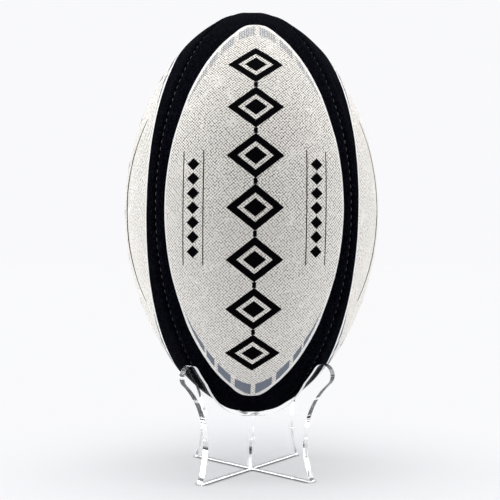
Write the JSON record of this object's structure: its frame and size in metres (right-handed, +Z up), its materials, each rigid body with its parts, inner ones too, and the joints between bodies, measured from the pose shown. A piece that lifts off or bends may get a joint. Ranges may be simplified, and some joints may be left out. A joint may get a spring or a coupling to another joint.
{
  "type": "ball display stand with ball",
  "caption": "Clear halved-plate display stand that cradles an upright oval ball, with a stitched four-panel ball resting on it",
  "frame": {"origin": "on the table, under the ball's long axis, where the two plates cross", "axes": "+Z up along the ball's long axis; the ball's front panel faces -Y and its right panel faces +X; the plates lie near the diagonals between X and Y"},
  "size_m": [0.19, 0.1899, 0.3433],
  "materials": {
    "clear_plate": "clear cast acrylic sheet, laser cut, with polished bright edges",
    "cover_rubber": "pebbled rubber, pale field with black margins along the seams",
    "woven_lining": "woven polyester-cotton plies, laminated",
    "waxed_thread": "waxed polyester thread",
    "bladder_rubber": "smooth latex",
    "patch_rubber": "smooth bonded patch",
    "valve_rubber": "moulded rubber",
    "core_rubber": "soft self-closing rubber"
  },
  "bodies": {
    "lower_plate": {"lower_plate": "clear_plate"},
    "upper_plate": {"upper_plate": "clear_plate"},
    "ball": {"panel_front": "cover_rubber", "panel_right": "cover_rubber", "panel_back": "cover_rubber", "panel_left": "cover_rubber", "lining_front": "woven_lining", "lining_right": "woven_lining", "lining_back": "woven_lining", "lining_left": "woven_lining", "seam_thread_front_right": "waxed_thread", "seam_thread_back_right": "waxed_thread", "seam_thread_back_left": "waxed_thread", "seam_thread_front_left": "waxed_thread", "bladder": "bladder_rubber", "valve_patch": "patch_rubber", "valve_housing": "valve_rubber", "valve_core": "core_rubber"}
  },
  "joints": [
    {"name": "upper_plate_lift", "type": "slide", "parent": "lower_plate", "child": "upper_plate", "axis": [0, 0, 1], "range_m": [0, 0.05]},
    {"name": "ball_lift", "type": "slide", "parent": "upper_plate", "child": "ball", "axis": [0, 0, 1], "range_m": [0, 0.06]}
  ]
}
